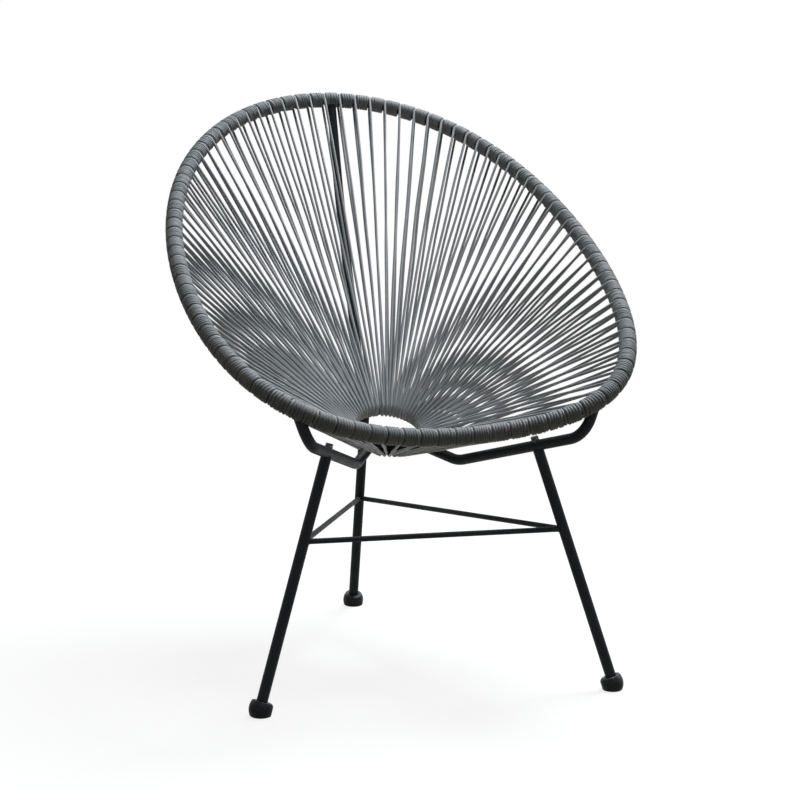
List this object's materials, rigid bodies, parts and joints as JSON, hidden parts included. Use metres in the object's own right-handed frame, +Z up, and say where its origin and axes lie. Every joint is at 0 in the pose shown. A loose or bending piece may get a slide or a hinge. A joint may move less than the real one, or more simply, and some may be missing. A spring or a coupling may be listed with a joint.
{
  "type": "acapulco chair",
  "caption": "Outdoor lounge chair with an egg-shaped rim laced in grey cord to a hub ring, on splayed dark steel legs with brace rods and rubber feet.",
  "frame": {"origin": "on the floor, under the centre of the chair's bounding box", "axes": "+Z up, -Y towards the front of the seat, X across the chair, +X on the sitter's left"},
  "size_m": [0.7004, 0.7998, 0.8846],
  "materials": {
    "frame_steel": "satin black powder coat",
    "fastener_steel": "black zinc plating",
    "foot_rubber": "matt",
    "lacing_cord": "smooth, slightly satin vinyl cord",
    "binding_cord": "smooth, slightly satin vinyl cord, wound close"
  },
  "bodies": {
    "root": {"rim_tube": "frame_steel", "hub_ring": "frame_steel", "bracket_right": "frame_steel", "bracket_left": "frame_steel", "spine_tube": "frame_steel", "rim_binding_1": "binding_cord", "rim_binding_2": "binding_cord", "rim_binding_3": "binding_cord", "rim_binding_4": "binding_cord", "rim_binding_5": "binding_cord", "rim_binding_6": "binding_cord", "rim_binding_7": "binding_cord", "rim_binding_8": "binding_cord", "lacing_01": "lacing_cord", "lacing_02": "lacing_cord", "lacing_03": "lacing_cord", "lacing_04": "lacing_cord", "lacing_05": "lacing_cord", "lacing_06": "lacing_cord", "lacing_07": "lacing_cord", "lacing_08": "lacing_cord", "lacing_09": "lacing_cord", "lacing_10": "lacing_cord", "lacing_11": "lacing_cord", "lacing_12": "lacing_cord", "lacing_13": "lacing_cord", "lacing_14": "lacing_cord", "leg_front_right": "frame_steel", "leg_front_left": "frame_steel", "leg_rear": "frame_steel", "leg_insert_front_right": "fastener_steel", "leg_insert_front_left": "fastener_steel", "leg_insert_rear": "fastener_steel", "bolt_front_right": "fastener_steel", "bolt_front_left": "fastener_steel", "bolt_rear": "fastener_steel", "saddle_washer_front_right": "fastener_steel", "saddle_washer_front_left": "fastener_steel", "saddle_washer_rear": "fastener_steel", "foot_front_right": "foot_rubber", "foot_front_left": "foot_rubber", "foot_rear": "foot_rubber", "brace_front": "frame_steel", "brace_right": "frame_steel", "brace_left": "frame_steel"}
  },
  "joints": []
}
